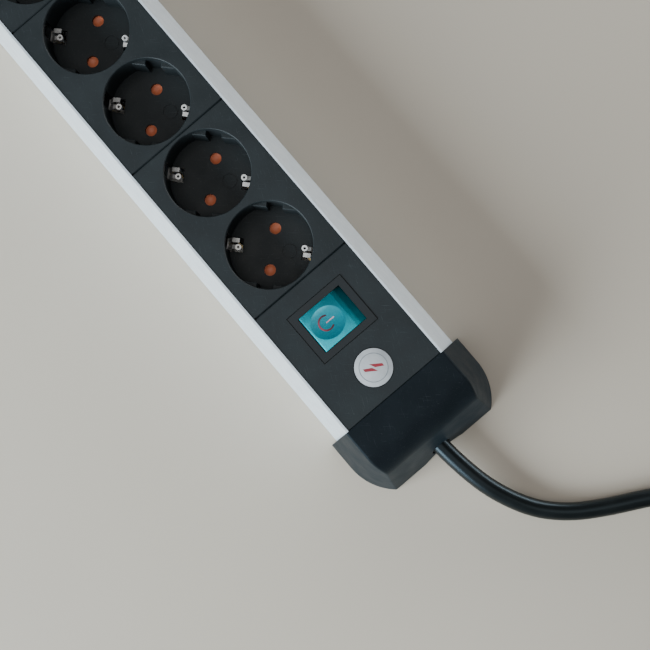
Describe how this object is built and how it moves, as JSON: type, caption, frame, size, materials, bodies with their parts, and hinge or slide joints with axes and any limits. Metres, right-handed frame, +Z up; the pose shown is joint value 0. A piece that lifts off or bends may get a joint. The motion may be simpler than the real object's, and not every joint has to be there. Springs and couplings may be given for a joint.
{
  "type": "power strip",
  "caption": "Long power strip with round earthed sockets between aluminium rails, an illuminated rocker switch, black end caps and a mains lead with an angled plug.",
  "frame": {"origin": "on the supporting surface under the middle of the housing, end caps included and lead left out", "axes": "+X along the housing towards the lead, +Z up out of the sockets, +Y to the left when looking along +X"},
  "size_m": [0.6477, 0.1426, 0.0762],
  "materials": {
    "anodised_aluminium": "satin anodised, drawn along its length",
    "black_cap_plastic": "satin, finely textured",
    "charcoal_plastic": "satin, finely textured",
    "grey_inner_plastic": "matte",
    "orange_shutter_plastic": "semi-gloss",
    "zinc_steel": "zinc plated",
    "contact_brass": "stamped",
    "nickel_plated_brass": "nickel plated brass strip",
    "teal_rocker_plastic": "translucent, glossy",
    "silver_badge": "domed silver-white foil",
    "lamp_glass": "clear",
    "brown_insulation": "semi-gloss",
    "blue_insulation": "semi-gloss",
    "green_yellow_insulation": "semi-gloss",
    "black_plug_rubber": "matte moulded",
    "black_tie_fabric": "hook and loop tape",
    "black_cord_pvc": "smooth satin jacket"
  },
  "bodies": {
    "housing": {"aluminium_profile": "anodised_aluminium", "badge_disc": "silver_badge", "contact_carrier_1": "grey_inner_plastic", "contact_carrier_2": "grey_inner_plastic", "contact_carrier_3": "grey_inner_plastic", "cord_bend_sleeve": "black_plug_rubber", "cord_cap_screws": "zinc_steel", "cord_clamp": "grey_inner_plastic", "cord_clamp_screws": "zinc_steel", "cord_end_cap": "black_cap_plastic", "cord_inside_cap": "black_cord_pvc", "cord_tie": "black_tie_fabric", "earth_bar_with_clips": "nickel_plated_brass", "earth_feed_wire": "green_yellow_insulation", "far_cap_screws": "zinc_steel", "far_end_cap": "black_cap_plastic", "indicator_lamp": "lamp_glass", "live_busbar": "contact_brass", "live_feed_wire": "brown_insulation", "mains_cord": "black_cord_pvc", "mains_cord_coil": "black_cord_pvc", "mains_cord_tail": "black_cord_pvc", "neutral_busbar": "contact_brass", "neutral_feed_wire": "blue_insulation", "plug_body": "black_plug_rubber", "plug_earth_contacts": "nickel_plated_brass", "plug_pins": "contact_brass", "plug_strain_relief": "black_plug_rubber", "shutter_retaining_washers": "zinc_steel", "shutter_return_springs": "zinc_steel", "socket_cover_1": "charcoal_plastic", "socket_cover_2": "charcoal_plastic", "socket_cover_3": "charcoal_plastic", "switch_cover": "charcoal_plastic", "switch_frame": "charcoal_plastic", "switch_terminals": "contact_brass", "switched_live_wire": "brown_insulation", "switched_neutral_wire": "blue_insulation"},
    "rocker": {"rocker_button": "teal_rocker_plastic", "contact_plungers": "contact_brass"},
    "live_lever": {"live_contact_lever": "contact_brass"},
    "neutral_lever": {"neutral_contact_lever": "contact_brass"},
    "shutter_1": {"shutter_1": "orange_shutter_plastic"},
    "shutter_2": {"shutter_2": "orange_shutter_plastic"},
    "shutter_3": {"shutter_3": "orange_shutter_plastic"},
    "shutter_4": {"shutter_4": "orange_shutter_plastic"},
    "shutter_5": {"shutter_5": "orange_shutter_plastic"},
    "shutter_6": {"shutter_6": "orange_shutter_plastic"}
  },
  "joints": [
    {"name": "rocker_tilt", "type": "hinge", "parent": "housing", "child": "rocker", "pos_m": [0.11605, 0, 0.0404], "axis": [1, 0, 0], "range_deg": [0, 16]},
    {"name": "live_lever_tilt", "type": "hinge", "parent": "housing", "child": "live_lever", "pos_m": [0.11145, 0, 0.029], "axis": [1, 0, 0], "range_deg": [-12.2, 0]},
    {"name": "neutral_lever_tilt", "type": "hinge", "parent": "housing", "child": "neutral_lever", "pos_m": [0.12065, 0, 0.029], "axis": [1, 0, 0], "range_deg": [-12.2, 0]},
    {"name": "shutter_1_turn", "type": "hinge", "parent": "housing", "child": "shutter_1", "pos_m": [-0.13675, 0, 0.0224], "axis": [0, 0, 1], "range_deg": [0, 42], "stiffness_Nm_per_rad": 0.004, "springref_deg": -14.32},
    {"name": "shutter_2_turn", "type": "hinge", "parent": "housing", "child": "shutter_2", "pos_m": [-0.09475, 0, 0.0224], "axis": [0, 0, 1], "range_deg": [0, 42], "stiffness_Nm_per_rad": 0.004, "springref_deg": -14.32},
    {"name": "shutter_3_turn", "type": "hinge", "parent": "housing", "child": "shutter_3", "pos_m": [-0.05275, 0, 0.0224], "axis": [0, 0, 1], "range_deg": [0, 42], "stiffness_Nm_per_rad": 0.004, "springref_deg": -14.32},
    {"name": "shutter_4_turn", "type": "hinge", "parent": "housing", "child": "shutter_4", "pos_m": [-0.01075, 0, 0.0224], "axis": [0, 0, 1], "range_deg": [0, 42], "stiffness_Nm_per_rad": 0.004, "springref_deg": -14.32},
    {"name": "shutter_5_turn", "type": "hinge", "parent": "housing", "child": "shutter_5", "pos_m": [0.03125, 0, 0.0224], "axis": [0, 0, 1], "range_deg": [0, 42], "stiffness_Nm_per_rad": 0.004, "springref_deg": -14.32},
    {"name": "shutter_6_turn", "type": "hinge", "parent": "housing", "child": "shutter_6", "pos_m": [0.07325, 0, 0.0224], "axis": [0, 0, 1], "range_deg": [0, 42], "stiffness_Nm_per_rad": 0.004, "springref_deg": -14.32}
  ],
  "couplings": [
    {"joint": "live_lever_tilt", "follows": "rocker_tilt", "ratio": -0.75},
    {"joint": "neutral_lever_tilt", "follows": "rocker_tilt", "ratio": -0.75}
  ]
}
